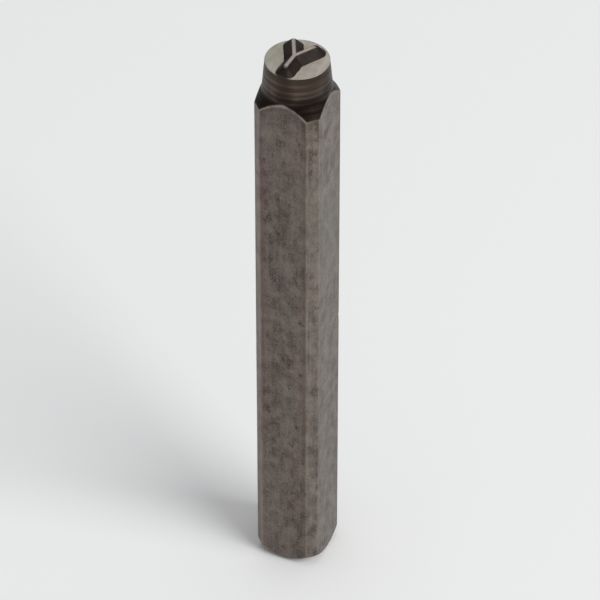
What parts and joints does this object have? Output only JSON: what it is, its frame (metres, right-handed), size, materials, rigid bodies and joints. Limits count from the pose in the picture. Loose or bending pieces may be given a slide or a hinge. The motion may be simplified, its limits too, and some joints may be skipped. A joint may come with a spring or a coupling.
{
  "type": "letter punch",
  "caption": "Steel hand punch for stamping a letter into metal: a square bar with chamfered corners, a turned neck and a relief letter on its end.",
  "frame": {"origin": "centre of the flat at the struck end, where the punch stands", "axes": "+Z along the bar from the struck end to the letter, +Y from the foot of the letter to its top, +X across the letter, each along a flat of the bar"},
  "size_m": [0.007, 0.007, 0.065],
  "materials": {
    "steel": "matte grey-brown tool steel, darker on the turned neck and the letter's flanks, light on the ground face"
  },
  "bodies": {
    "root": {"letter_punch": "steel"}
  },
  "joints": []
}
